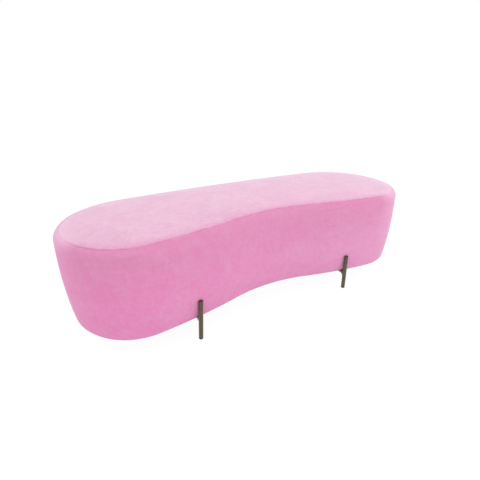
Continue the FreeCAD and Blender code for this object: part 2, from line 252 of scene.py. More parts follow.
@dataclass(frozen=True)
class SuedeFinish:
    """Soft brushed cloth with a short nap that catches the light at a glancing angle."""

    name: str = "side suede"
    deep: tuple = tone(0.840, 0.264, 0.530)
    pale: tuple = tone(0.820, 0.395, 0.620)
    # Painted shade on the cloth next to the seam, darker than the rest
    painted_shade_deep: tuple = tone(0.752, 0.244, 0.460)
    painted_shade_pale: tuple = tone(0.748, 0.328, 0.528)
    # Painted sheen: a paler colour next to the seam round the ends
    lifted: tuple = tone(0.850, 0.500, 0.690)
    haze: tuple = tone(1.0, 0.92, 0.97)
    sheen: float = 0.38
    sheen_roughness: float = 0.38
    nap: float = 1400.0
    brush_scale: float = 11.0
    mottle_scale: float = 85.0
    weave_scale: float = 260.0
    slub_scale: float = 75.0
    thread_across: float = 1.6
    thread_along: float = 0.18
    patches: float = 0.15
    mottle: float = 0.22
    fibre: float = 0.22
    weave: float = 0.18
    slub: float = 0.13
    # Painted light: how far the colour turns paler from the left end to the right
    painted_light_drift: float = 0.36
    half_length: float = 0.7

    def threads(self, shade: Shade, scale: float) -> Socket:
        """Streaks of thread along the cloth and up it, added together.

        Args:
            shade: the material's builder.
            scale: cells per metre before they are stretched.

        Returns:
            The pattern's socket.
        """
        across, along = self.thread_across, self.thread_along
        level = shade.clouds(scale, 2.0, 0.0, shade.stretched((along, along, across)))
        upright = shade.clouds(scale, 2.0, 0.0, shade.stretched((across, across, along)))
        return shade.sums("ADD", level, upright)

    def material(self) -> Material:
        """Build the cloth's nodes.

        Returns:
            The cloth's material.
        """
        shade = Shade(self.name)
        brushed = shade.clouds(self.brush_scale, 4.0, 1.2)
        mottle = shade.clouds(self.mottle_scale, 3.0, 0.6)
        fibre = shade.clouds(self.nap, 2.0)
        weave = self.threads(shade, self.weave_scale)
        slub = self.threads(shade, self.slub_scale)
        share = shade.ranged(brushed, 0.5 - self.patches, 0.5 + self.patches)
        for added in (
            shade.ranged(mottle, -self.mottle, self.mottle),
            shade.ranged(fibre, -self.fibre, self.fibre),
            shade.ranged(weave, -self.weave, self.weave, 0.8, 1.2),
            shade.ranged(slub, -self.slub, self.slub, 0.75, 1.25),
        ):
            share = shade.sums("ADD", share, added)
        # Painted light: paler towards the right end, deeper towards the left
        x = shade.node("ShaderNodeSeparateXYZ", None, {"Vector": shade.place}).outputs["X"]
        painted_light_drift = shade.ranged(x, -self.painted_light_drift, self.painted_light_drift, -self.half_length, self.half_length)
        colour = shade.blend(shade.sums("ADD", share, painted_light_drift), self.deep, self.pale)
        # Painted shade next to the seam and painted sheen round the ends, read from marks on the cloth
        brushed_over = shade.blend(share, self.painted_shade_deep, self.painted_shade_pale)
        for name, nap in ((PAINTED_SHADE, brushed_over), (PAINTED_SHEEN, self.lifted)):
            marked = shade.node("ShaderNodeAttribute", {"attribute_name": name}).outputs["Fac"]
            colour = shade.blend(marked, colour, nap)
        relief = shade.bump(weave, 0.0006, 0.25)
        relief = shade.bump(mottle, 0.0012, 0.25, relief)
        relief = shade.bump(fibre, 0.0004, 0.45, relief)
        return shade.finish(
            Base_Color=colour,
            Roughness=shade.ranged(mottle, 0.82, 0.95),
            Specular_IOR_Level=0.15,
            Sheen_Weight=self.sheen,
            Sheen_Roughness=self.sheen_roughness,
            Sheen_Tint=self.haze,
            Normal=relief,
        )


@dataclass(frozen=True)
class BronzeFinish:
    """Drawn metal of rods, arms, webs and plates under a dark bronze lacquer."""

    name: str = "dark bronze"
    dark: tuple = tone(0.080, 0.063, 0.036)
    light: tuple = tone(0.137, 0.112, 0.066)
    roughness: float = 0.34

    def material(self) -> Material:
        """Build the metal's nodes.

        Returns:
            The metal's material.
        """
        shade = Shade(self.name)
        drawn = shade.clouds(900.0, 3.0, 0.0, shade.stretched((1.0, 1.0, 0.02)))
        cast = shade.clouds(60.0, 3.0, 0.4)
        share = shade.sums("ADD", shade.ranged(cast, 0.2, 0.6), shade.ranged(drawn, 0.0, 0.4))
        return shade.finish(
            Base_Color=shade.blend(share, self.dark, self.light),
            Metallic=0.9,
            Roughness=shade.ranged(drawn, self.roughness - 0.05, self.roughness + 0.08),
            Coat_Weight=0.25,
            Coat_Roughness=0.3,
            Normal=shade.bump(drawn, 0.0002, 0.25),
        )


@dataclass(frozen=True)
class ZincFinish:
    """Zinc-plated steel of bolts, washers and staples."""

    name: str = "zinc plate"
    dull: tuple = tone(0.36, 0.36, 0.37)
    bright: tuple = tone(0.55, 0.55, 0.54)

    def material(self) -> Material:
        """Build the plating's nodes.

        Returns:
            The plating's material.
        """
        shade = Shade(self.name)
        spangle = shade.clouds(500.0, 2.0, 0.5)
        return shade.finish(
            Base_Color=shade.blend(shade.ranged(spangle, 0.0, 1.0), self.dull, self.bright),
            Metallic=1.0,
            Roughness=shade.ranged(spangle, 0.3, 0.5),
            Normal=shade.bump(spangle, 0.0001, 0.2),
        )


@dataclass(frozen=True)
class NylonFinish:
    """Dark moulded nylon of the feet."""

    name: str = "dark nylon"
    colour: tuple = tone(0.030, 0.026, 0.024)
    scuffed: tuple = tone(0.060, 0.054, 0.050)

    def material(self) -> Material:
        """Build the plastic's nodes.

        Returns:
            The plastic's material.
        """
        shade = Shade(self.name)
        grain = shade.clouds(1500.0, 2.0)
        scuff = shade.clouds(180.0, 3.0, 1.0)
        return shade.finish(
            Base_Color=shade.blend(shade.ranged(scuff, 0.0, 1.0), self.colour, self.scuffed),
            Roughness=shade.ranged(scuff, 0.45, 0.62),
            Normal=shade.bump(grain, 0.0001, 0.3),
        )


@dataclass(frozen=True)
class PlywoodFinish:
    """Plain birch plywood with a face grain along one axis."""

    grain: Grain = Grain.ALONG
    pale: tuple = tone(0.58, 0.41, 0.24)
    brown: tuple = tone(0.42, 0.27, 0.14)

    def material(self) -> Material:
        """Build the wood's nodes.

        Returns:
            The wood's material.
        """
        shade = Shade("plywood " + self.grain.name.lower())
        scale = [22.0, 22.0, 22.0]
        scale[self.grain.value] = 1.2
        place = shade.stretched((scale[0], scale[1], scale[2]))
        figure = shade.clouds(1.6, 4.0, 1.4, place)
        pores = shade.clouds(26.0, 2.0, 0.0, place)
        share = shade.sums("ADD", shade.ranged(figure, 0.1, 0.7), shade.ranged(pores, 0.0, 0.3))
        return shade.finish(
            Base_Color=shade.blend(share, self.pale, self.brown),
            Roughness=shade.ranged(pores, 0.6, 0.75),
            Normal=shade.bump(pores, 0.0003, 0.3),
        )


@dataclass(frozen=True)
class FoamFinish:
    """Open-celled upholstery foam."""

    name: str = "upholstery foam"
    cream: tuple = tone(0.80, 0.74, 0.52)
    shadow: tuple = tone(0.66, 0.58, 0.36)

    def material(self) -> Material:
        """Build the foam's nodes.

        Returns:
            The foam's material.
        """
        shade = Shade(self.name)
        cells = shade.cells(shade.place, 700.0)
        patch = shade.clouds(14.0, 3.0)
        share = shade.sums("ADD", shade.ranged(cells, 0.0, 0.5, 0.2, 0.7), shade.ranged(patch, 0.0, 0.3))
        return shade.finish(
            Base_Color=shade.blend(share, self.cream, self.shadow),
            Roughness=0.95,
            Specular_IOR_Level=0.1,
            Sheen_Weight=0.15,
            Normal=shade.bump(cells, 0.0006, 0.5),
        )


@dataclass(frozen=True)
class LiningFinish:
    """Thin black spun cloth pressed in a fine diamond pattern."""

    name: str = "black lining"
    black: tuple = tone(0.012, 0.012, 0.013)
    grey: tuple = tone(0.035, 0.035, 0.037)

    def material(self) -> Material:
        """Build the lining's nodes.

        Returns:
            The lining's material.
        """
        shade = Shade(self.name)
        turn = {"Vector": shade.place, "Rotation": (0.0, 0.0, math.radians(45.0))}
        diagonal = shade.node("ShaderNodeMapping", None, turn).outputs[0]
        dots = shade.cells(diagonal, 420.0, 0.15)
        strands = shade.clouds(700.0, 4.0, 2.0)
        share = shade.sums("ADD", shade.ranged(dots, 0.0, 0.5, 0.2, 0.5), shade.ranged(strands, 0.0, 0.5))
        return shade.finish(
            Base_Color=shade.blend(share, self.black, self.grey),
            Roughness=shade.ranged(strands, 0.7, 0.9),
            Sheen_Weight=0.1,
            Normal=shade.bump(dots, 0.0004, 0.5),
        )


# Meshes


def new_mesh(name: str, points: Sequence, faces: Sequence) -> bpy.types.Mesh:
    """Mesh from its points and the vertex numbers of its faces.

    Args:
        name: the mesh's name.
        points: its vertices.
        faces: vertex numbers of each face.

    Returns:
        The new mesh.
    """
    mesh = bpy.data.meshes.new(name)
    mesh.from_pydata([tuple(map(float, p)) for p in points], [], [tuple(map(int, f)) for f in faces])
    return mesh


def new_object(name: str, data: bpy.types.ID) -> Piece:
    """Put a new object in the scene.

    Args:
        name: the object's name.
        data: its mesh, lamp or camera.

    Returns:
        The new object.
    """
    made = bpy.data.objects.new(name, data)
    bpy.context.scene.collection.objects.link(made)
    return made


def add_piece(
    name: str, points: Sequence, faces: Sequence, material: Material, smooth: bool = True
) -> Piece:
    """Make one piece of the pouf that goes with its body.

    Args:
        name: the piece's name.
        points: vertices in the part's frame.
        faces: vertex numbers of each face.
        material: its finish.
        smooth: whether faces are shaded smooth.

    Returns:
        The new object.
    """
    mesh = new_mesh(name, points, faces)
    mesh.validate()
    mesh.polygons.foreach_set("use_smooth", [smooth] * len(mesh.polygons))
    mesh.materials.append(material)
    piece = new_object(name, mesh)
    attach(piece, BODY)
    return piece


def dress_node(name: str, material: Material) -> Piece:
    """Give a solid of the frame its finish.

    Args:
        name: the node.
        material: its finish.

    Returns:
        The node's object.
    """
    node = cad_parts[name]
    node.data.materials.clear()
    node.data.materials.append(material)
    return node


def mark_points(piece: Piece, name: str, values: Grid) -> None:
    """Store a number for each vertex of a piece, for its finish to read."""
    piece.data.attributes.new(name, "FLOAT", "POINT").data.foreach_set("value", values.astype(np.float32))


def soften_edges(piece: Piece, width: float, segments: int = 2) -> None:
    """Break the sharp edges of a hard piece.

    Args:
        piece: the piece.
        width: how far back its edges are broken.
        segments: faces across each broken edge.
    """
    bevel = piece.modifiers.new("broken edges", "BEVEL")
    bevel.width = width
    bevel.segments = segments
    bevel.limit_method = "ANGLE"
    bevel.angle_limit = math.radians(40.0)
    bevel.harden_normals = True


def ring_faces(first: int, second: int, count: int) -> Faces:
    """Quads between two closed rings of vertices, each given by its first number."""
    after = [(i + 1) % count for i in range(count)]
    return [(first + i, first + j, second + j, second + i) for i, j in enumerate(after)]


def grid_faces(rows: int, count: int, start: int = 0) -> Faces:
    """Quads of closed rings stacked one after the other.

    Args:
        rows: how many rings.
        count: points in each ring.
        start: number of the first vertex.

    Returns:
        Vertex numbers of the quads.
    """
    faces: Faces = []
    for row in range(rows - 1):
        faces += ring_faces(start + row * count, start + (row + 1) * count, count)
    return faces


def capped_faces(rows: int, count: int) -> Faces:
    """Faces of stacked closed rings, with a flat end over the first and over the last."""
    last = (rows - 1) * count
    return grid_faces(rows, count) + [tuple(range(count)), tuple(range(last, last + count))]


def patch_faces(numbers: Grid) -> Faces:
    """Quads of a patch from the rows of its vertex numbers."""
    corners = (numbers[:-1, :-1], numbers[:-1, 1:], numbers[1:, 1:], numbers[1:, :-1])
    return list(zip(*(corner.ravel() for corner in corners)))


def turned(profile: Sequence[tuple], start: Vector, axis: Vector, segments: int) -> tuple[list, Faces]:
    """A solid of revolution.

    Args:
        profile: (radius, distance along the axis) from one end to the other; the ends have radius 0.
        start: where the axis begins.
        axis: unit direction.
        segments: points in each ring.

    Returns:
        Vertices and faces.
    """
    side = axis.orthogonal().normalized()
    other = axis.cross(side)
    points = [start + axis * profile[0][1]]
    for radius, along in profile[1:-1]:
        for step in range(segments):
            angle = 2.0 * math.pi * step / segments
            points.append(start + axis * along + (side * math.cos(angle) + other * math.sin(angle)) * radius)
    points.append(start + axis * profile[-1][1])
    rings = len(profile) - 2
    last = len(points) - 1
    faces: Faces = [(0, 1 + (i + 1) % segments, 1 + i) for i in range(segments)]
    faces += grid_faces(rings, segments, 1)
    tail = 1 + (rings - 1) * segments
    faces += [(last, tail + i, tail + (i + 1) % segments) for i in range(segments)]
    return points, faces


def facing_out(piece: Piece) -> Piece:
    """Turn every face of a closed piece outwards.

    Args:
        piece: the closed piece.

    Returns:
        The same piece.
    """
    cloth = bmesh.new()
    cloth.from_mesh(piece.data)
    bmesh.ops.recalc_face_normals(cloth, faces=cloth.faces)
    cloth.to_mesh(piece.data)
    cloth.free()
    return piece


# Shape of the body


@dataclass(frozen=True)
class PlanArc:
    """One arc of the plan; the hollow's centre lies outside the body."""

    x: float
    y: float
    radius: float
    start: float
    turn: float
    hollow: bool = False

    @property
    def run(self) -> float:
        """Length of the arc."""
        return self.radius * abs(math.radians(self.turn))

    def mirrored(self) -> "PlanArc":
        """The same arc on the other half."""
        return PlanArc(-self.x, self.y, self.radius, 180.0 - self.start - self.turn, self.turn, self.hollow)

    def at(self, share: float) -> tuple[Grid, Grid]:
        """Point at a share of the arc and the outward direction there."""
        ray = unit(self.start + self.turn * share)
        return np.array([self.x, self.y]) + ray * self.radius, -ray if self.hollow else ray


@dataclass(frozen=True)
class KidneyPlan:
    """Plan of the widest outline: arcs that run smoothly into each other."""

    length: float = 1.445
    waist_radius: float = 0.624
    corner_radius: float = 0.213
    end_radius: float = 0.267
    waist_slope: float = 15.0
    lobe_slope: float = 5.7
    end_slope: float = 43.7
    back_slope: float = 4.6
    # The hollow's place, which centres the whole part with its rods
    shift: float = -0.19147881631700953

    def arcs(self) -> list[PlanArc]:
        """All arcs in order, from the left front flank round to the left front corner.

        Returns:
            Eight arcs, the hollow second.
        """
        slopes = (self.waist_slope, self.lobe_slope, self.end_slope, self.back_slope)
        waist_rise, lobe_rise, end_rise, back_rise = (unit(slope)[1] for slope in slopes)
        flank = (
            self.length / 2
            - self.waist_radius * waist_rise
            - self.corner_radius * (lobe_rise + end_rise)
            - self.end_radius * (1 - end_rise)
        ) / (waist_rise - lobe_rise)
        centre = np.array([0.0, self.shift - self.waist_radius])
        waist = PlanArc(0.0, centre[1], self.waist_radius, 90 + self.waist_slope, -2 * self.waist_slope, True)
        joint = centre + unit(90 - self.waist_slope) * self.waist_radius
        half: list[PlanArc] = []
        start = -90 - self.waist_slope
        for radius, end in (
            (flank, -90 - self.lobe_slope),
            (self.corner_radius, -90 + self.end_slope),
            (self.end_radius, 90 - self.back_slope),
        ):
            centre = joint - unit(start) * radius
            half.append(PlanArc(centre[0], centre[1], radius, start, end - start))
            joint = centre + unit(end) * radius
            start = end
        radius = joint[0] / back_rise
        drop = radius * unit(self.back_slope)[0]
        back = PlanArc(0.0, joint[1] - drop, radius, start, 2 * self.back_slope)
        left = [arc.mirrored() for arc in half]
        return [left[0], waist] + half + [back, left[2], left[1]]

    def outline(self, count: int) -> tuple[Grid, Grid]:
        """Points and outward directions at even steps round the outline.

        Args:
            count: how many points.

        Returns:
            Arrays of points and of outward unit vectors in the plan.
        """
        arcs = self.arcs()
        runs = np.array([arc.run for arc in arcs])
        ends = np.cumsum(runs)
        middle_front = runs[0] + runs[1] / 2
        points, outward = [], []
        for step in range(count):
            along = (middle_front + ends[-1] * step / count) % ends[-1]
            index = int(np.searchsorted(ends, along, side="right"))
            point, ray = arcs[index].at((along - (ends[index] - runs[index])) / runs[index])
            points.append(point)
            outward.append(ray)
        return np.array(points), np.array(outward)

    def stretch(self, numbers: Sequence[int], step: float) -> tuple[Grid, Grid]:
        """Points and outward directions along some neighbouring arcs.

        Args:
            numbers: places of the arcs in their order round the plan.
            step: about how far apart the points lie.

        Returns:
            Arrays of points and of outward unit vectors, both ends included.
        """
        arcs = self.arcs()
        points, outward = [], []
        for number in numbers:
            count = pieces(arcs[number].run, step)
            first = 0 if number == numbers[0] else 1
            for i in range(first, count + 1):
                point, ray = arcs[number].at(i / count)
                points.append(point)
                outward.append(ray)
        return np.array(points), np.array(outward)


def unit(angle: float) -> Grid:
    """Unit vector at an angle in degrees in the plan."""
    return np.array([math.cos(math.radians(angle)), math.sin(math.radians(angle))])


@dataclass(frozen=True)
class Circle:
    """A circle of the side profile: distance in from the widest outline, height and radius."""

    u: float
    z: float
    radius: float

    def at(self, angle: float) -> Grid:
        """Point of the profile at an angle in radians."""
        return np.array([self.u + self.radius * math.cos(angle), self.z + self.radius * math.sin(angle)])

    def toward(self, other: "Circle") -> float:
        """Angle from this centre to another: where the two arcs meet."""
        return math.atan2(other.z - self.z, other.u - self.u) % (2 * math.pi)


@dataclass(frozen=True)
class SideProfile:
    """Side profile: bottom roll, bulging wall, rounded top edge and crown."""

    seat_height: float = 0.406
    floor_gap: float = 0.071
    wall_radius: float = 1.4
    wall_height: float = 0.260
    roll_radius: float = 0.028
    edge_radius: float = 0.031
    crown_radius: float = 1.4
    crown_run: float = 0.160
    seam_angle: float = 67.0
    cover: float = 0.0015
    side_wadding: float = 0.004
    top_wadding: float = 0.003
    seat_foam: float = 0.075
    hem: float = 0.045
    skin: float = 0.004

    @property
    def wall(self) -> Circle:
        """Long arc of the bulging wall."""
        return Circle(self.wall_radius, self.wall_height, self.wall_radius)

    @property
    def roll(self) -> Circle:
        """Small roll at the bottom.

        Returns:
            The roll's circle.
        """
        z = self.floor_gap + self.roll_radius
        reach = math.sqrt((self.wall_radius - self.roll_radius) ** 2 - (z - self.wall_height) ** 2)
        return Circle(self.wall_radius - reach, z, self.roll_radius)

    @property
    def crown(self) -> Circle:
        """Long arc of the crown."""
        return Circle(self.crown_run, self.seat_height - self.crown_radius, self.crown_radius)

    @property
    def edge(self) -> Circle:
        """Rounded top edge that touches the crown and the wall.

        Returns:
            The edge's circle.
        """
        first, second, radius = self.crown, self.wall, self.edge_radius
        a, b = first.radius - radius, second.radius - radius
        apart = math.hypot(second.u - first.u, second.z - first.z)
        along = (a * a - b * b + apart * apart) / (2 * apart)
        aside = math.sqrt(a * a - along * along)
        step_u, step_z = (second.u - first.u) / apart, (second.z - first.z) / apart
        u = first.u + along * step_u - aside * step_z
        z = first.z + along * step_z + aside * step_u
        return Circle(u, z, radius)

    @property
    def seam(self) -> float:
        """Angle of the seam on the rounded edge."""
        return math.pi - math.radians(self.seam_angle)

    @property
    def foam_inset(self) -> float:
        """How far the foam's face lies in from the widest outline."""
        return self.roll.u - self.roll_radius + self.cover + self.side_wadding

    @property
    def foam_top(self) -> float:
        """Height of the top of the seat foam.

        Returns:
            Metres above the floor.
        """
        edge = self.edge
        reach = math.sqrt((edge.radius - self.cover) ** 2 - (edge.u - self.foam_inset) ** 2)
        return edge.z + reach - self.top_wadding

    @property
    def foam_bottom(self) -> float:
        """Height of the bottom of the side foam."""
        roll = self.roll
        return roll.z - math.sqrt((roll.radius - self.cover) ** 2 - (roll.u - self.foam_inset) ** 2)

    @property
    def deck_top(self) -> float:
        """Height of the deck that the seat foam lies on."""
        return self.foam_top - self.seat_foam

    @property
    def skin_inset(self) -> float:
        """How far the plywood skin's face lies in from the widest outline."""
        return self.roll.u - self.skin

    @property
    def base_bottom(self) -> float:
        """Height of the underside of the base panel."""
        return self.floor_gap + self.cover

    @property
    def hem_inset(self) -> float:
        """How far the hem's raw edge lies in from the widest outline."""
        return self.roll.u + self.hem

    def side_line(self, step: float) -> Grid:
        """Profile points of the side cloth from the hem's raw edge up to the seam.

        Args:
            step: about how far apart they lie.

        Returns:
            Rows of (distance in, height).
        """
        wall, roll, edge = self.wall, self.roll, self.edge
        sole, ankle, shoulder = 1.5 * math.pi, wall.toward(roll), wall.toward(edge)
        runs = [
            np.linspace([self.hem_inset, self.floor_gap], roll.at(sole), pieces(self.hem, step) + 1),
            arc_points(roll, sole, ankle, step / 2),
            arc_points(wall, ankle, shoulder, step),
            arc_points(edge, shoulder, self.seam, step / 2),
        ]
        return np.vstack([runs[0]] + [run[1:] for run in runs[1:]])

    def top_line(self, step: float) -> Grid:
        """Profile points of the top cloth from the seam in to where the crown levels off.

        Args:
            step: about how far apart they lie.

        Returns:
            Rows of (distance in, height).
        """
        edge, crown = self.edge, self.crown
        brink = crown.toward(edge)
        runs = [arc_points(edge, self.seam, brink, step / 2), arc_points(crown, brink, math.pi / 2, step)]
        return np.vstack([runs[0], runs[1][1:]])


def pieces(length: float, step: float) -> int:
    """How many steps of about a size fill a length."""
    return max(2, int(round(length / step)))


def arc_points(circle: Circle, start: float, finish: float, step: float) -> Grid:
    """Even points along a profile arc, ends included."""
    count = pieces(abs(finish - start) * circle.radius, step)
    return np.array([circle.at(start + (finish - start) * i / count) for i in range(count + 1)])


def rounded_section(outer: float, inner: float, low: float, high: float, radius: float) -> Grid:
    """Closed section of a strip with rounded edges.

    Args:
        outer: distance of its outer face in from the widest outline.
        inner: distance of its inner face.
        low: height of its bottom.
        high: height of its top.
        radius: rounding of the edges.

    Returns:
        Rows of (distance in, height) round the section.
    """
    centres = [(outer + radius, low + radius), (inner - radius, low + radius),
               (inner - radius, high - radius), (outer + radius, high - radius)]
    corners = []
    for quarter, (u, z) in enumerate(centres, 2):
        start = quarter * math.pi / 2
        corners.append(arc_points(Circle(u, z, radius), start, start + math.pi / 2, radius / 2))
    return np.vstack(corners)


def carried(line: Grid, points: Grid, outward: Grid) -> Grid:
    """A profile carried round the plan: one closed ring of points for each profile point."""
    return np.array([np.column_stack([points - outward * u, np.full(len(points), z)]) for u, z in line])


def halved(values: Grid, closed: bool) -> Grid:
    """Insert smooth midpoints between the rows of an array.

    Args:
        values: points along the first axis.
        closed: whether the last joins the first.

    Returns:
        The denser array.
    """
    if closed:
        around = np.concatenate([values[-1:], values, values[:2]])
    else:
        around = np.concatenate([[2 * values[0] - values[1]], values, [2 * values[-1] - values[-2]]])
    middle = (9 * (around[1:-2] + around[2:-1]) - around[:-3] - around[3:]) / 16
    dense = np.empty((len(values) + len(middle),) + values.shape[1:])
    dense[0::2], dense[1::2] = values, middle
    return dense


def finer(grid: Grid, closed: bool) -> Grid:
    """A grid of points with smooth midpoints between its rows and along them.

    Args:
        grid: rows of points.
        closed: whether each row is a closed ring.

    Returns:
        The denser grid.
    """
    return halved(np.swapaxes(halved(np.swapaxes(grid, 0, 1), closed), 0, 1), False)


def bell(distance: float, width: float) -> float:
    """Bell curve: 1 at no distance, falling off over a width."""
    return math.exp(-((distance / width) ** 2))


def stretched_patch(front: Grid, right: Grid, back: Grid, left: Grid) -> Grid:
    """A four-sided patch of points between its borders.

    Args:
        front: border from the left front corner to the right front one.
        right: border from the right front corner to the right back one.
        back: border from the left back corner to the right back one.
        left: border from the left front corner to the left back one.

    Returns:
        Rows of points from front to back.
    """
    s = np.linspace(0.0, 1.0, len(front))[None, :, None]
    t = np.linspace(0.0, 1.0, len(right))[:, None, None]
    corners = (1 - s) * (1 - t) * front[0] + s * (1 - t) * front[-1]
    corners = corners + (1 - s) * t * back[0] + s * t * back[-1]
    return (1 - t) * front[None] + t * back[None] + (1 - s) * left[:, None] + s * right[:, None] - corners


@dataclass
class Cover:
    """Padded suede cover: a top panel and a side band that meet in a plain seam."""

    plan: KidneyPlan = field(default_factory=KidneyPlan)
    profile: SideProfile = field(default_factory=SideProfile)
    count: int = 440
    end_count: int = 56
    step: float = 0.010
    slack: float = 0.0016
    slack_fade: float = 0.05
    held_share: float = 0.4
    frames: int = 20
    swell_cap: float = 0.004
    evened_over: int = 4
    close_rows: tuple = (0.0, 0.0006, 0.0013, 0.0022, 0.0034, 0.0050, 0.0072)
    close_end: float = 0.0085
    seam_depth: float = 0.0047
    seam_width: float = 0.0026
    draw_in: float = 0.0008
    draw_width: float = 0.011
    pucker: float = 0.00035
    pucker_reach: float = 0.009
    pucker_gap: float = 0.003
    pucker_waves: tuple = (97, 131, 173, 211)
    pucker_level: float = 2.5
    top_seed: int = 23
    side_seed: int = 11
    unevenness: float = 0.0006
    uneven_scale: tuple[float, float, float] = (5.0, 5.0, 7.0)
    top_noise: float = 3.0
    side_noise: float = 9.0
    even_below: float = 0.1
    even_rise: float = 0.05
    # Painted shade next to the seam: how far it reaches on the top and on the side, and how strong it is on
    # the top
    brushed_top: float = 0.030
    painted_shade_top_share: float = 0.62
    brushed_side: float = 0.200
    seam_fade: float = 0.5
    # Painted sheen next to the seam round the ends: how far it reaches, where it begins and where it is full
    lifted_reach: float = 0.042
    lifted_from: tuple[float, float] = (-0.655, 0.48)
    lifted_by: tuple[float, float] = (-0.688, 0.56)
    tuck: float = 0.006
    tuck_drop: float = 0.016

    def build(self, top_finish: SuedeFinish, side_finish: SuedeFinish) -> list[Piece]:
        """Make the two cloth pieces.

        Args:
            top_finish: the top cloth, its paler colour painted sheen.
            side_finish: the side cloth.

        Returns:
            The top panel and the side band.
        """
        points, outward = self.plan.outline(self.count)
        side = carried(self.profile.side_line(self.step), points, outward)
        rings = carried(self.profile.top_line(self.step), points, outward)
        patch = stretched_patch(*self.borders(rings[-1], 1))
        side, rings, patch = self.inflated(side, rings, patch)
        top = self.top_piece(rings, patch, outward, top_finish.material())
        band = self.side_piece(side, outward, side_finish.material())
        return [top, band]

    def borders(self, ring: Grid, dense: int) -> tuple[Grid, Grid, Grid, Grid]:
        """Split the innermost ring of the top into the borders of the patch that fills it.

        Args:
            ring: points or vertex numbers round the ring.
            dense: how many times denser than the simulated cloth it is.

        Returns:
            The front, right, back and left borders.
        """
        count, ends = len(ring), self.end_count * dense
        half = (count // 2 - ends) // 2
        a, b, c, d = half, half + ends, count - half - ends, count - half
        front = np.concatenate([ring[d:], ring[:a + 1]])
        return front, ring[a:b + 1], ring[b:c + 1][::-1], ring[c:d + 1][::-1]

    def patch_numbers(self, ring: Grid, dense: int, shape: tuple[int, int]) -> Grid:
        """Vertex numbers of the patch, whose inner points follow those of the innermost ring.

        Args:
            ring: vertex numbers of the innermost ring.
            dense: how many times denser than the simulated cloth.
            shape: rows and columns of the patch.

        Returns:
            An array of vertex numbers.
        """
        rows, columns = shape[0] - 2, shape[1] - 2
        numbers = np.zeros(shape, dtype=int)
        numbers[1:-1, 1:-1] = ring[-1] + 1 + np.arange(rows * columns).reshape(rows, columns)
        numbers[0], numbers[:, -1], numbers[-1], numbers[:, 0] = self.borders(ring, dense)
        return numbers

    def inflated(self, side: Grid, rings: Grid, patch: Grid) -> tuple[Grid, Grid, Grid]:
        """Swell the cloth with a short simulation, held at the seam and under the base.

        Args:
            side: rings of the side cloth.
            rings: rings of the top cloth, the first on the seam.
            patch: middle of the top cloth.

        Returns:
            The three arrays after the simulation.
        """
        inside = patch[1:-1, 1:-1].reshape(-1, 3)
        shape = np.concatenate([side.reshape(-1, 3), rings[1:].reshape(-1, 3), inside])
        rows, count = len(side), self.count
        faces = grid_faces(rows + len(rings) - 1, count)
        end = (rows + len(rings) - 1) * count
        numbers = self.patch_numbers(np.arange(end - count, end), 1, patch.shape[:2])
        faces += patch_faces(numbers)
        held_below = self.profile.roll.z - self.held_share * self.profile.roll_radius
        held = [i for i, p in enumerate(shape) if p[2] < held_below]
        held += range((rows - 1) * count, rows * count)
        mesh = new_mesh("cover cloth", shape, faces)
        cloth = new_object("cover cloth", mesh)
        normals = np.zeros(len(shape) * 3)
        mesh.vertex_normals.foreach_get("vector", normals)
        normals = normals.reshape(-1, 3)
        free = self.freedom(side, rings, len(inside))
        free[held] = 0.0
        start = shape - normals * (self.slack * free)[:, None]
        mesh.vertices.foreach_set("co", start.ravel())
        mesh.update()
        group = cloth.vertex_groups.new(name="held")
        group.add([int(i) for i in held], 1.0, "REPLACE")
        self.set_cloth(cloth)
        scene = bpy.context.scene
        for number in range(1, self.frames + 1):
            scene.frame_set(number)
        shaped = cloth.evaluated_get(bpy.context.evaluated_depsgraph_get()).data
        ended = np.zeros(len(shape) * 3)
        shaped.vertices.foreach_get("co", ended)
        moved = ended.reshape(-1, 3) - start
        far = np.linalg.norm(moved, axis=1)
        moved *= (np.minimum(far, self.swell_cap) / np.maximum(far, 1e-9))[:, None]
        moved[:end] = self.evened(moved[:end])
        LOG.info("cloth moved %.1f mm on average, %.1f mm at most", 1000 * far.mean(), 1000 * far.max())
        scene.frame_set(1)
        bpy.data.objects.remove(cloth)
        shape = start + moved
        side = shape[:rows * count].reshape(rows, count, 3)
        rings = shape[(rows - 1) * count:end].reshape(len(rings), count, 3)
        return side, rings, shape[numbers]

    def evened(self, moved: Grid) -> Grid:
        """Average the cloth's movement along each ring, so that its stiff backing shows no pinched line.

        Args:
            moved: movement of each point of the rings.

        Returns:
            The averaged movement.
        """
        rings = moved.reshape(-1, self.count, 3)
        shifts = range(-self.evened_over, self.evened_over + 1)
        return (sum(np.roll(rings, shift, axis=1) for shift in shifts) / len(shifts)).reshape(-1, 3)

    def freedom(self, side: Grid, rings: Grid, inside: int) -> Grid:
        """How slack each point of the cloth starts: none at the seam, all of it a short way off.

        Args:
            side: rings of the side cloth, the last on the seam.
            rings: rings of the top cloth, the first on the seam.
            inside: how many points fill the middle of the top.

        Returns:
            One share for each point of the simulated cloth.
        """
        below = np.linalg.norm(side - side[-1], axis=2)
        above = np.linalg.norm(rings[1:] - rings[0], axis=2)
        far = np.concatenate([below.ravel(), above.ravel(), np.full(inside, self.slack_fade)])
        share = np.clip(far / self.slack_fade, 0.0, 1.0)
        return share * share * (3 - 2 * share)

    def set_cloth(self, cloth: Piece) -> None:
        """Give the cover the stiffness of backed upholstery cloth under a light pressure.

        Args:
            cloth: the simulated cloth.
        """
        modifier = cloth.modifiers.new("Cloth", "CLOTH")
        for name, value in {
            "quality": 5, "mass": 0.4, "tension_stiffness": 25.0, "compression_stiffness": 25.0,
            "shear_stiffness": 10.0, "bending_stiffness": 2.0, "air_damping": 2.0,
            "use_pressure": True, "uniform_pressure_force": 4.0, "vertex_group_mass": "held",
        }.items():
            setattr(modifier.settings, name, value)
        modifier.settings.effector_weights.gravity = 0.0
        modifier.collision_settings.use_collision = False
        modifier.collision_settings.use_self_collision = False

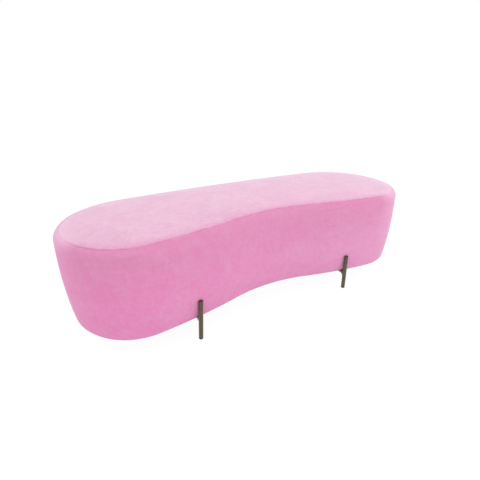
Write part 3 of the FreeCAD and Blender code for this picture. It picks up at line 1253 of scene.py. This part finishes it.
    def near_seam(self, rings: Grid, outward: Grid, upward: bool) -> Grid:
        """Add close rows next to the seam and draw the cloth down into it.

        Args:
            rings: rings of cloth; the seam is the last where upward, else the first.
            outward: outward directions round the plan.
            upward: whether the rings climb to the seam.

        Returns:
            The rings with the seam's groove.
        """
        ordered = rings[::-1] if upward else rings
        gaps = np.linalg.norm(np.diff(ordered, axis=0), axis=2).mean(axis=1)
        along = np.concatenate([[0.0], np.cumsum(gaps)])
        wanted = np.concatenate([self.close_rows, along[along > self.close_end]])
        rows = []
        for distance in wanted:
            index = min(int(np.searchsorted(along, distance, side="right")) - 1, len(along) - 2)
            share = (distance - along[index]) / (along[index + 1] - along[index])
            rows.append(ordered[index] * (1 - share) + ordered[index + 1] * share)
        sunk = np.array(rows)
        seam = self.profile.seam
        count = sunk.shape[1]
        inward = np.column_stack([-outward * abs(math.cos(seam)), np.full(count, -math.sin(seam))])
        wave = self.puckers(count, self.side_seed if upward else self.top_seed)
        groove = self.seam_depth * (1.0 - self.seam_fade * self.end_share(sunk[0]))
        for row, distance in enumerate(wanted):
            depth = groove * bell(distance, self.seam_width)
            depth += self.draw_in * bell(distance, self.draw_width)
            reach, gap = bell(distance, self.pucker_reach), bell(distance, self.pucker_gap)
            ripple = self.pucker * reach * (1 - gap) * wave
            sunk[row] += inward * (depth + ripple)[:, None]
        return sunk[::-1] if upward else sunk

    def end_share(self, seam: Grid) -> Grid:
        """How far each point of the seam lies round an end of the body, from 0 to 1."""
        marks = (self.lifted_by[0], *self.lifted_from, self.lifted_by[1])
        return np.interp(seam[:, 0], marks, (1.0, 0.0, 0.0, 1.0))

    def mark_painted_light(self, piece: Piece, rings: Grid, seam: Grid, reach: float, share: float = 1.0) -> None:
        """Mark painted shade next to the seam along the front and back, and painted sheen next to it round
        the ends.

        Args:
            piece: the cloth, whose first points are those of the rings.
            rings: rings of cloth.
            seam: the ring on the seam.
            reach: distance at which the painted shade comes to nothing.
            share: how strong the painted shade is on the seam itself.
        """
        far = np.linalg.norm(rings - seam, axis=2)
        # Round the ends the painted sheen takes the place of the painted shade
        lift = self.end_share(seam)
        over = np.clip(1.0 - far / reach, 0.0, 1.0) * (1.0 - lift) * share
        lifted = np.clip(1.0 - far / self.lifted_reach, 0.0, 1.0) * lift
        rest = np.zeros(len(piece.data.vertices) - far.size)
        mark_points(piece, PAINTED_SHADE, np.concatenate([over.ravel(), rest]))
        mark_points(piece, PAINTED_SHEEN, np.concatenate([lifted.ravel(), rest]))

    def puckers(self, count: int, seed: int) -> Grid:
        """Uneven ripple round the seam, about -1 to 1.

        Args:
            count: points round the seam.
            seed: start of the random draws.

        Returns:
            One height for each point.
        """
        steps = np.arange(count) / count * 2 * math.pi
        draw = np.random.default_rng(seed)
        wave = np.zeros(count)
        for waves in self.pucker_waves:
            wave += np.sin(waves * steps + draw.uniform(0.0, 2 * math.pi)) * draw.uniform(0.5, 1.0)
        return wave / self.pucker_level

    def uneven(self, shape: Grid, seed: float) -> Grid:
        """Slight unevenness of hand-laid padding.

        Args:
            shape: points of the cloth.
            seed: which part of the noise it takes.

        Returns:
            How far each point moves.
        """
        a, b, c = self.uneven_scale
        lift = [noise.noise(Vector((x * a + seed, y * b, z * c))) for x, y, z in shape.reshape(-1, 3)]
        return np.reshape(lift, shape.shape[:-1]) * self.unevenness

    def top_piece(self, rings: Grid, patch: Grid, outward: Grid, material: Material) -> Piece:
        """Close the top panel over the seat foam.

        Args:
            rings: rings from the seam inwards.
            patch: middle of the panel.
            outward: outward directions round the plan.
            material: the cloth.

        Returns:
            The top panel.
        """
        rings, patch = finer(rings, True), finer(patch, False)
        rings[:, :, 2] += self.uneven(rings, self.top_noise) * np.linspace(0, 1, len(rings))[:, None]
        patch[:, :, 2] += self.uneven(patch, self.top_noise)
        rings = self.near_seam(rings, halved(outward, True), False)
        count = rings.shape[1]
        end = len(rings) * count
        numbers = self.patch_numbers(np.arange(end - count, end), 2, patch.shape[:2])
        points = [*rings.reshape(-1, 3), *patch[1:-1, 1:-1].reshape(-1, 3)]
        faces = grid_faces(len(rings), count) + patch_faces(numbers)
        profile = self.profile
        outline, ways = self.plan.outline(count)
        low = carried(np.array([[profile.foam_inset + self.tuck, profile.foam_top]]), outline, ways)[0]
        start = len(points)
        points += list(low)
        faces += ring_faces(start, 0, count)
        faces.append(tuple(range(start + count - 1, start - 1, -1)))
        piece = facing_out(add_piece("top_cloth", points, faces, material))
        self.mark_painted_light(piece, rings, rings[0], self.brushed_top, self.painted_shade_top_share)
        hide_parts("top_panel")
        return piece

    def side_piece(self, side: Grid, outward: Grid, material: Material) -> Piece:
        """Close the side band round the foam, the skin and the hem.

        Args:
            side: rings from the hem up to the seam.
            outward: outward directions round the plan.
            material: the cloth.

        Returns:
            The side band.
        """
        rings, directions = finer(side, True), halved(outward, True)
        lift = self.uneven(rings, self.side_noise)
        heights = np.clip((rings[:, :, 2] - self.even_below) / self.even_rise, 0, 1)
        rings[:, :, :2] += directions[None] * (lift * heights)[:, :, None]
        rings = self.near_seam(rings, directions, True)
        count = rings.shape[1]
        profile = self.profile
        outline, ways = self.plan.outline(count)
        inside = np.array([
            [profile.foam_inset + self.tuck, profile.foam_top],
            [profile.foam_inset, profile.foam_top - self.tuck_drop],
            [profile.foam_inset, profile.foam_bottom],
            [profile.skin_inset, profile.foam_bottom],
            [profile.skin_inset, profile.base_bottom],
            [profile.hem_inset, profile.base_bottom],
        ])
        whole = np.concatenate([rings, carried(inside, outline, ways)])
        faces = grid_faces(len(whole), count) + ring_faces((len(whole) - 1) * count, 0, count)
        piece = facing_out(add_piece("side_cloth", whole.reshape(-1, 3), faces, material))
        self.mark_painted_light(piece, rings, rings[-1], self.brushed_side)
        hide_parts("side_band")
        return piece


@dataclass
class Padding:
    """Foam under the cover: a seat block with a rounded rim, and four lengths round the side."""

    plan: KidneyPlan = field(default_factory=KidneyPlan)
    profile: SideProfile = field(default_factory=SideProfile)
    count: int = 360
    step: float = 0.012
    ease: float = 0.001
    rim: float = 0.016
    edge: float = 0.003

    def build(self, finish: FoamFinish) -> list[Piece]:
        """Make the foam pieces.

        Args:
            finish: the foam.

        Returns:
            The seat block and the side lengths.
        """
        material = finish.material()
        return [self.seat_block(material)] + [self.side_length(part, material) for part in Side]

    def seat_block(self, material: Material) -> Piece:
        """Seat block, its top edge trimmed round so that no ridge shows through the cloth.

        Args:
            material: the foam.

        Returns:
            The seat block.
        """
        inset = self.profile.foam_inset + self.ease
        low, high = self.profile.deck_top, self.profile.foam_top - self.ease
        foot = Circle(inset + self.edge, low + self.edge, self.edge)
        brim = Circle(inset + self.rim, high - self.rim, self.rim)
        line = np.vstack([
            arc_points(foot, 1.5 * math.pi, math.pi, self.edge / 2),
            arc_points(brim, math.pi, math.pi / 2, self.rim / 4),
        ])
        rings = carried(line, *self.plan.outline(self.count))
        return self.padded("seat_pad", rings, material, "seat_foam")

    def side_length(self, part: Side, material: Material) -> Piece:
        """One length of side foam, bent round its part of the plan.

        Args:
            part: which part of the side.
            material: the foam.

        Returns:
            The length of foam.
        """
        outer, inner = self.profile.foam_inset + self.ease, self.profile.skin_inset - self.ease
        low, high = self.profile.foam_bottom + self.ease, self.profile.deck_top - self.ease
        section = rounded_section(outer, inner, low, high, self.edge)
        points, outward = self.plan.stretch(part.value, self.step)
        rings = np.swapaxes(carried(section, points, outward), 0, 1)
        name = part.name.lower()
        return self.padded("side_pad_" + name, rings, material, "side_foam_" + name)

    def padded(self, name: str, rings: Grid, material: Material, node: str) -> Piece:
        """Add one foam piece in the place of its solid.

        Args:
            name: the piece's name.
            rings: closed rings of points from end to end.
            material: the foam.
            node: the solid that it stands for.

        Returns:
            The foam piece.
        """
        faces = capped_faces(*rings.shape[:2])
        piece = facing_out(add_piece(name, rings.reshape(-1, 3), faces, material))
        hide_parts(node)
        return piece


@dataclass
class PlyFrame:
    """Plywood base, deck, skin and cross ribs."""

    ribs: int = 7
    edge: float = 0.0006

    def build(self) -> list[Piece]:
        """Dress the plywood pieces, each with its grain the way it is cut.

        Returns:
            The plywood pieces.
        """
        along, across, upright = (PlywoodFinish(grain).material() for grain in Grain)
        made = [dress_node(name, along) for name in ("base_panel", "deck_panel")]
        made += [dress_node("side_skin_" + side.name.lower(), upright) for side in Side]
        made += [dress_node("cross_rib_%d" % (i + 1), across) for i in range(self.ribs)]
        for piece in made:
            soften_edges(piece, self.edge, 1)
        return made


def within(loop: Grid, x: float, y: float) -> bool:
    """Whether a point lies inside a closed loop in the plan.

    Args:
        loop: points round the loop.
        x: the point's place along X.
        y: its place along Y.

    Returns:
        True where it does.
    """
    after = np.roll(loop, -1, 0)
    spans = (loop[:, 1] > y) != (after[:, 1] > y)
    (ax, ay), (bx, by) = loop[spans].T, after[spans].T
    crossings = ax + (y - ay) / (by - ay) * (bx - ax)
    return int((crossings > x).sum()) % 2 == 1


def leg_name(hand: Hand, row: Row) -> str:
    """The end of a leg piece's name, such as front_left."""
    return "%s_%s" % (row.name.lower(), hand.name.lower())


@dataclass
class Lining:
    """Black lining below the body, stapled over the hem."""

    plan: KidneyPlan = field(default_factory=KidneyPlan)
    profile: SideProfile = field(default_factory=SideProfile)
    lap: float = 0.015
    thickness: float = 0.0008
    window: float = 0.002
    step: float = 0.014
    clear_steps: float = 0.6
    sag: float = 0.0018
    sag_reach: float = 0.06
    wrinkle: float = 0.0006
    wrinkle_scale: tuple[float, float] = (9.0, 16.0)
    wrinkle_noise: float = 2.0
    staple_count: int = 89
    staple_margin: float = 0.006
    staple_width: float = 0.010
    staple_wire: float = 0.0009
    staple_drift: float = 0.0015
    staple_turn: float = 0.2
    staple_seed: int = 5

    def build(self, finish: LiningFinish, wire: ZincFinish) -> list[Piece]:
        """Make the stretched lining and its row of staples.

        Args:
            finish: the lining cloth.
            wire: the staples' finish.

        Returns:
            The lining and the staples.
        """
        staples = self.staples(wire)
        rim = self.rim()
        windows = [self.opening(hand, row) for hand in Hand for row in Row]
        lining = self.cloth(rim, windows, finish.material())
        return [lining, staples]

    def rim(self) -> Grid:
        """Cut edge of the lining, lapped over the hem.

        Returns:
            Points round the edge.
        """
        run = sum(arc.run for arc in self.plan.arcs())
        points, outward = self.plan.outline(pieces(run, self.step))
        return points - outward * (self.profile.hem_inset - self.lap)

    def opening(self, hand: Hand, row: Row) -> Grid:
        """Cut edge of the opening round one leg plate.

        Args:
            hand: left or right.
            row: front or rear.

        Returns:
            Points round the edge.
        """
        low, high = (np.array(corner[:2]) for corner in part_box("leg_plate_" + leg_name(hand, row)))
        (x0, y0), (x1, y1) = low - self.window, high + self.window
        corners = np.array([(x0, y0), (x1, y0), (x1, y1), (x0, y1), (x0, y0)])
        sides = [
            np.linspace(a, b, pieces(np.linalg.norm(b - a), self.step), endpoint=False)
            for a, b in zip(corners, corners[1:])
        ]
        return np.vstack(sides)

    def cloth(self, rim: Grid, windows: list[Grid], material: Material) -> Piece:
        """Thin cloth that hangs a little between its staples.

        Args:
            rim: its cut edge.
            windows: its openings.
            material: its finish.

        Returns:
            The lining.
        """
        loops = [rim] + windows
        edges, start = [], 0
        for loop in loops:
            edges += [(start + i, start + (i + 1) % len(loop)) for i in range(len(loop))]
            start += len(loop)
        flat = np.vstack(loops + [self.middle_points(loops)])
        spread = geometry.delaunay_2d_cdt([Vector(p) for p in flat], edges, [], 1, 1e-6)
        low = self.profile.floor_gap - self.thickness
        across, deep = self.wrinkle_scale
        points = []
        for x, y in spread[0]:
            far = np.linalg.norm(rim - (x, y), axis=1).min()
            free = 1 - bell(far, self.sag_reach)
            crease = noise.noise(Vector((x * across, y * deep, self.wrinkle_noise)))
            points.append((x, y, low - free * (self.sag + self.wrinkle * crease)))
        faces = [face for face in spread[2] if not self.in_window(face, spread[0], windows)]
        piece = add_piece("lining", points, [face[::-1] for face in faces], material)
        body = piece.modifiers.new("cloth thickness", "SOLIDIFY")
        body.thickness = self.thickness
        body.offset = -1.0
        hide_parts("dust_cover")
        return piece

    def middle_points(self, loops: list[Grid]) -> Grid:
        """Even points inside the lining, clear of its edges.

        Args:
            loops: the rim, then the openings.

        Returns:
            Points in the plan.
        """
        border = np.vstack(loops)
        (x0, y0), (x1, y1) = loops[0].min(axis=0), loops[0].max(axis=0)
        spots = []
        for y in np.arange(y0, y1, self.step):
            for x in np.arange(x0, x1, self.step):
                clear = np.linalg.norm(border - (x, y), axis=1).min() > self.clear_steps * self.step
                if clear and within(loops[0], x, y):
                    spots.append((x, y))
        return np.array(spots)

    def in_window(self, face: Sequence[int], places: Sequence[Vector], windows: list[Grid]) -> bool:
        """Whether a face lies in one of the openings."""
        x, y = sum((places[i] for i in face), Vector((0.0, 0.0))) / len(face)
        return any(within(window, x, y) for window in windows)

    def staples(self, wire: ZincFinish) -> Piece:
        """A row of flat staples along the lining's edge.

        Args:
            wire: the staples' finish.

        Returns:
            All staples as one piece.
        """
        inset = self.profile.hem_inset - self.lap + self.staple_margin
        points, outward = self.plan.outline(self.staple_count)
        draw = np.random.default_rng(self.staple_seed)
        low = self.profile.floor_gap - self.thickness - self.staple_wire
        vertices, faces = [], []
        for place, ray in zip(points, outward):
            centre = place - ray * (inset + draw.uniform(-self.staple_drift, self.staple_drift))
            turn = draw.uniform(-self.staple_turn, self.staple_turn)
            along = np.array([-ray[1], ray[0]])
            along = along * math.cos(turn) + ray * math.sin(turn)
            across = np.array([-along[1], along[0]])
            start = len(vertices)
            for z in (low, low + self.staple_wire):
                for a, b in SQUARE:
                    spot = centre + along * a * self.staple_width / 2 + across * b * self.staple_wire / 2
                    vertices.append((spot[0], spot[1], z))
            faces += [tuple(start + i for i in quad) for quad in BLOCK]
        return add_piece("lining_staples", vertices, faces, wire.material(), smooth=False)


@dataclass
class LegFrame:
    """Rods, arms, webs, plates, feet and bolts."""

    spacing: float = 0.66181
    rod_radius: float = 0.008
    rod_top: float = 0.159
    splay: float = 2.8
    glide: float = 0.008
    end_rounding: float = 0.0007
    end_margin: float = 0.02
    edge: float = 0.0004
    segments: int = 48

    def build(self, bronze: BronzeFinish, nylon: NylonFinish, zinc: ZincFinish) -> list[Piece]:
        """Make the rods and dress the other leg pieces.

        Args:
            bronze: finish of the metal.
            nylon: finish of the feet.
            zinc: finish of the bolts.

        Returns:
            The leg pieces.
        """
        metal = bronze.material()
        legs = [(hand, row) for hand in Hand for row in Row]
        rods = [self.rod(hand, row, metal) for hand, row in legs]
        names = [piece + leg_name(*leg) for leg in legs for piece in ("leg_arm_", "leg_plate_")]
        made = [dress_node(name, metal) for name in names + ["leg_gussets"]]
        made.append(dress_node("leg_glides", nylon.material()))
        made.append(dress_node("leg_bolts", zinc.material()))
        for piece in made:
            soften_edges(piece, self.edge)
        return rods + made

    def rod(self, hand: Hand, row: Row, metal: Material) -> Piece:
        """One rod with a flat top and softly broken edges.

        Args:
            hand: left or right.
            row: front or rear.
            metal: its finish.

        Returns:
            The rod.
        """
        name = "leg_rod_" + leg_name(hand, row)
        low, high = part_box(name)
        y = (low[1] + high[1]) / 2
        lean = math.radians(self.splay)
        axis = Vector((hand.value * math.sin(lean), 0.0, -math.cos(lean)))
        top = Vector((hand.value * self.spacing / 2, y, self.rod_top))
        length = (self.rod_top - self.glide) / math.cos(lean)
        r, b = self.rod_radius, self.end_rounding
        quarter = np.linspace(0, math.pi / 2, 5)
        corner = [(r - b + b * math.sin(a), b - b * math.cos(a)) for a in quarter]
        foot = [(r - b + b * math.cos(a), length - b + b * math.sin(a)) for a in quarter]
        middle = [(r, along) for along in np.linspace(self.end_margin, length - self.end_margin, 6)]
        profile = [(0.0, 0.0)] + corner + middle + foot + [(0.0, length)]
        points, faces = turned(profile, top, axis, self.segments)
        piece = facing_out(add_piece(name.replace("leg_rod", "rod"), points, faces, metal))
        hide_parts(name)
        return piece


@dataclass
class Studio:
    """White floor and background, soft light and the camera."""

    camera_place: tuple = (-0.6431, -1.0992, 0.8003)
    yaw: float = 28.703
    pitch: float = 25.336
    lens: float = 24.2325
    shift: tuple = (-0.0005, 0.0028)
    sensor: float = 36.0
    clip: tuple = (0.05, 200.0)
    floor_size: float = 60.0
    floor_albedo: float = 0.86
    floor_white: float = 0.90
    floor_glow: float = 1.06
    sky: float = 0.94
    aim: tuple = (0.0, 0.0, 0.25)
    # One large soft lamp overhead and a weaker one at the front right: name, place, size and watts
    lamps: tuple = (
        ("overhead", (0.4, -0.5, 2.6), (3.0, 2.2), 9.0),
        ("front_fill", (2.2, -1.8, 1.2), (2.4, 1.8), 6.0),
    )

    def build(self) -> None:
        """Set up everything round the pouf."""
        self.backdrop()
        self.floor()
        for lamp in self.lamps:
            self.lamp(*lamp)
        self.camera()
        bpy.context.scene.view_settings.view_transform = "Standard"

    def backdrop(self) -> None:
        """Plain white world that lights softly and shows white behind the floor."""
        world = bpy.data.worlds.new("studio")
        bpy.context.scene.world = world
        world.use_nodes = True
        nodes = Nodes(world.node_tree)
        white = tone(1.0, 1.0, 1.0)
        soft = nodes.node("ShaderNodeBackground", None, {"Color": white, "Strength": self.sky})
        plain = nodes.node("ShaderNodeBackground", None, {"Color": white, "Strength": 1.0})
        nodes.mixed(nodes.seen(), soft, plain, "ShaderNodeOutputWorld")

    def floor(self) -> None:
        """Pale floor that reads as white and keeps a faint shadow."""
        half = self.floor_size / 2
        mesh = new_mesh("floor", [(x * half, y * half, 0.0) for x, y in SQUARE], [(0, 1, 2, 3)])
        floor = new_object("floor", mesh)
        material = bpy.data.materials.new("studio floor")
        material.use_nodes = True
        nodes = Nodes(material.node_tree)
        share = nodes.sums("MULTIPLY", nodes.seen(), self.floor_white)
        grey = tone(self.floor_albedo, self.floor_albedo, self.floor_albedo)
        plain = nodes.node("ShaderNodeBsdfDiffuse", None, {"Color": grey})
        glow = nodes.node("ShaderNodeEmission", None, {"Strength": self.floor_glow})
        nodes.mixed(share, plain, glow, "ShaderNodeOutputMaterial")
        mesh.materials.append(material)

    def lamp(self, name: str, place: tuple, size: tuple, power: float) -> None:
        """Add a soft lamp that faces the pouf.

        Args:
            name: the lamp's name.
            place: where it hangs.
            size: its width and height.
            power: watts.
        """
        light = bpy.data.lights.new(name, "AREA")
        light.shape = "RECTANGLE"
        light.size, light.size_y = size
        light.energy = power
        lamp = new_object(name, light)
        lamp.location = place
        lamp.rotation_euler = (Vector(self.aim) - lamp.location).to_track_quat("-Z", "Y").to_euler()

    def camera(self) -> None:
        """Camera at the photograph's angle."""
        data = bpy.data.cameras.new("camera")
        data.sensor_width = self.sensor
        data.lens = self.lens
        data.shift_x, data.shift_y = self.shift
        data.clip_start, data.clip_end = self.clip
        camera = new_object("camera", data)
        yaw, pitch = math.radians(self.yaw), math.radians(self.pitch)
        look = Vector((math.sin(yaw) * math.cos(pitch), math.cos(yaw) * math.cos(pitch), -math.sin(pitch)))
        camera.location = self.camera_place
        camera.rotation_euler = look.to_track_quat("-Z", "Y").to_euler()
        bpy.context.scene.camera = camera


def note_pieces(label: str, made: Iterable[Piece]) -> None:
    """Log the pieces of one sub-assembly."""
    for piece in made:
        LOG.info("%s: %s, %d faces", label, piece.name, len(piece.data.polygons))


def main() -> None:
    """Build and dress the pouf, note its pieces, then set the studio."""
    logging.basicConfig(level=logging.INFO, format="%(message)s")
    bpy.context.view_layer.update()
    # The top cloth is paler than the side: painted sheen
    top_suede_painted_sheen = SuedeFinish(
        "top suede", tone(0.75, 0.394, 0.578), tone(0.83, 0.486, 0.66),
        sheen=0.8, sheen_roughness=0.45, patches=0.34, mottle=0.42, slub=0.22, painted_light_drift=0.0,
    )
    note_pieces("cover", Cover().build(top_suede_painted_sheen, SuedeFinish()))
    note_pieces("padding", Padding().build(FoamFinish()))
    note_pieces("frame", PlyFrame().build())
    note_pieces("lining", Lining().build(LiningFinish(), ZincFinish()))
    note_pieces("legs", LegFrame().build(BronzeFinish(), NylonFinish(), ZincFinish()))
    Studio().build()
    bpy.context.view_layer.update()


if __name__ == "__main__":
    main()
